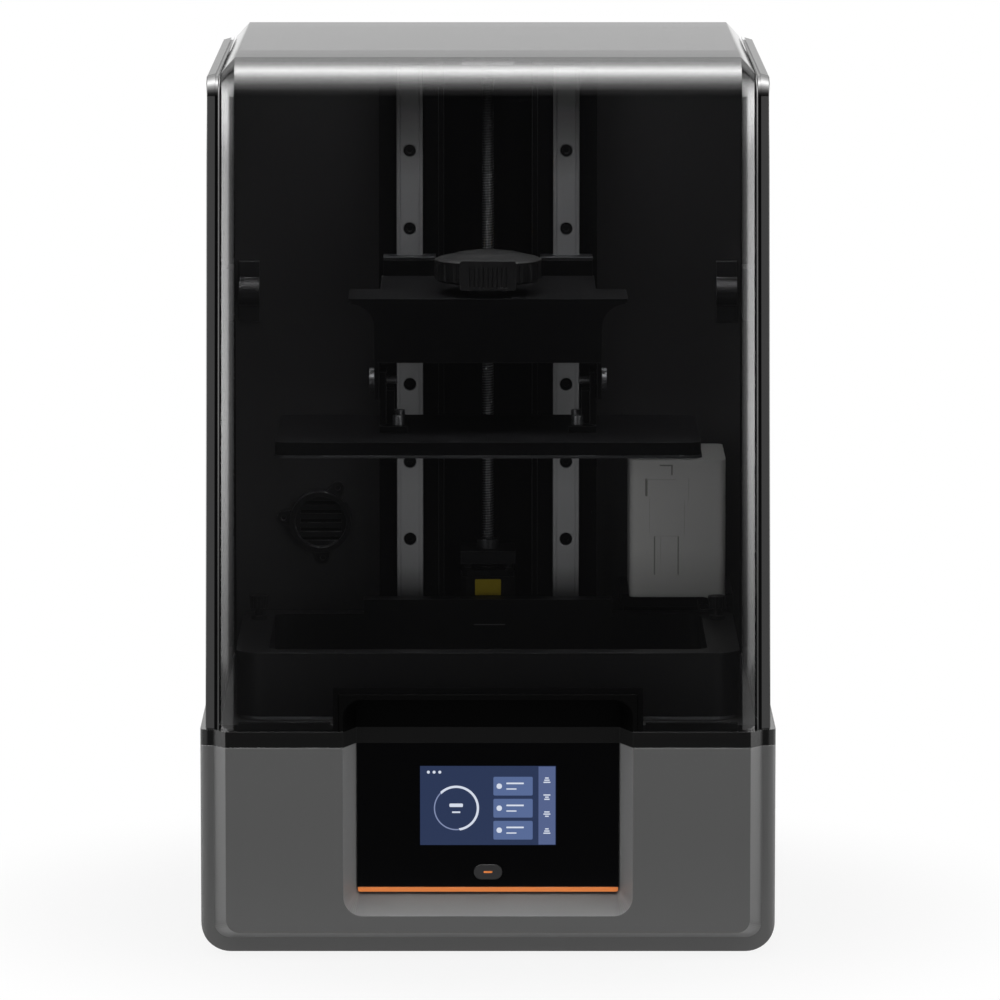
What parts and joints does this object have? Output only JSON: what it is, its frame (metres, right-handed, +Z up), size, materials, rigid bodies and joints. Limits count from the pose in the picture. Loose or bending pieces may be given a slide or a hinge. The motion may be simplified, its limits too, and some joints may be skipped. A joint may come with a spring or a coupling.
{
  "type": "resin printer",
  "caption": "Desktop resin printer: console base with screen and button, tilting smoked hood, vertical carriage with levelled build plate over a vat, motor, lamp and electronics.",
  "frame": {"origin": "centre of the bounding box's underside, on the floor", "axes": "+X to the right seen from the front, +Y to the rear, +Z up"},
  "size_m": [0.424, 0.4, 0.663],
  "materials": {
    "shell_paint": "satin",
    "black_metal": "satin",
    "rubber": "matt",
    "console_glass": "gloss",
    "accent": "satin",
    "display_face": "gloss",
    "black_plastic": "satin",
    "button_grey": "satin",
    "board": "satin",
    "raw_aluminium": "satin",
    "clear_lens": "gloss",
    "steel_trim": "satin",
    "rocker_red": "satin",
    "mask_glass": "gloss",
    "screw_steel": "satin",
    "dark_aluminium": "satin",
    "rail_steel": "polished",
    "motor_black": "satin",
    "yellow_plate": "satin",
    "nut_brass": "satin",
    "knob_grey": "satin",
    "film": "gloss",
    "vat_black": "satin",
    "feed_grey": "satin",
    "smoked": "gloss",
    "hood_black": "gloss"
  },
  "bodies": {
    "base": {"base_shell": "shell_paint", "bottom_plate": "black_metal", "feet": "rubber", "console_glass": "console_glass", "accent_strip": "accent", "display": "display_face", "button_switch": "black_plastic", "mainboard": "board", "power_supply": "black_metal", "light_housing": "raw_aluminium", "light_array": "board", "lens": "clear_lens", "inlet": "black_plastic", "switch_frame": "black_plastic", "fan_frame": "black_plastic", "data_port": "steel_trim", "trim_band": "black_plastic", "deck_plate": "black_metal", "mask_screen": "mask_glass", "back_housing": "black_metal", "back_cover": "black_metal", "back_screws": "screw_steel", "hinge_blocks": "dark_aluminium", "air_port": "black_plastic", "column": "dark_aluminium", "rail_left": "rail_steel", "rail_right": "rail_steel", "rail_screws": "screw_steel", "z_motor": "motor_black", "screw_bearings": "dark_aluminium", "motor_plate": "yellow_plate", "vat_film": "film", "film_ring": "steel_trim", "vat_frame": "vat_black", "feed_shelf": "black_plastic", "feed_box": "feed_grey"},
    "hood": {"hood_cover": "smoked", "hood_side_left": "hood_black", "hood_side_right": "hood_black", "hood_handle": "black_plastic", "hood_seal": "rubber", "hinge_arms": "dark_aluminium"},
    "carriage": {"carriage_left": "dark_aluminium", "carriage_right": "dark_aluminium", "lead_nut": "nut_brass", "slide_plate": "dark_aluminium", "arm": "dark_aluminium", "plate_body": "dark_aluminium", "plate_face": "raw_aluminium", "plate_brackets": "dark_aluminium", "levelling_screws": "screw_steel", "side_screws": "screw_steel"},
    "knob": {"clamp_knob": "knob_grey"},
    "screw": {"lead_screw": "rail_steel"},
    "button": {"power_button": "button_grey"},
    "rocker": {"switch_rocker": "rocker_red"},
    "rotor": {"fan_rotor": "black_plastic"},
    "vat_bolt_left": {"vat_knob_left": "black_plastic"},
    "vat_bolt_right": {"vat_knob_right": "black_plastic"}
  },
  "joints": [
    {"name": "hood_hinge", "type": "hinge", "parent": "base", "child": "hood", "pos_m": [0, 0.184, 0.4558], "axis": [-1, 0, 0], "range_deg": [0, 80]},
    {"name": "carriage_slide", "type": "slide", "parent": "base", "child": "carriage", "axis": [0, 0, 1], "range_m": [-0.19, 0.11]},
    {"name": "lead_screw_turn", "type": "hinge", "parent": "base", "child": "screw", "pos_m": [0, 0.112, 0.3], "axis": [0, 0, 1], "range_deg": [-8560, 4960]},
    {"name": "clamp_knob_turn", "type": "hinge", "parent": "carriage", "child": "knob", "pos_m": [0, -0.042, 0.4767], "axis": [0, 0, 1], "range_deg": [0, 360]},
    {"name": "power_button_press", "type": "slide", "parent": "base", "child": "button", "axis": [0, 1, 0], "range_m": [0, 0.0008], "stiffness_N_per_m": 900},
    {"name": "power_switch_rock", "type": "hinge", "parent": "base", "child": "rocker", "pos_m": [0.15, 0.194, 0.096], "axis": [-1, 0, 0], "range_deg": [0, 14]},
    {"name": "fan_spin", "type": "hinge", "parent": "base", "child": "rotor", "pos_m": [-0.09, 0.19, 0.082], "axis": [0, 1, 0], "continuous": true},
    {"name": "vat_knob_left_turn", "type": "hinge", "parent": "base", "child": "vat_bolt_left", "pos_m": [-0.1745, 0.02, 0.2], "axis": [0, 0, 1], "range_deg": [0, 360]},
    {"name": "vat_knob_right_turn", "type": "hinge", "parent": "base", "child": "vat_bolt_right", "pos_m": [0.1745, 0.02, 0.2], "axis": [0, 0, 1], "range_deg": [0, 360]}
  ],
  "couplings": [
    {"joint": "lead_screw_turn", "follows": "carriage_slide", "rad_per_m": 785.4}
  ]
}
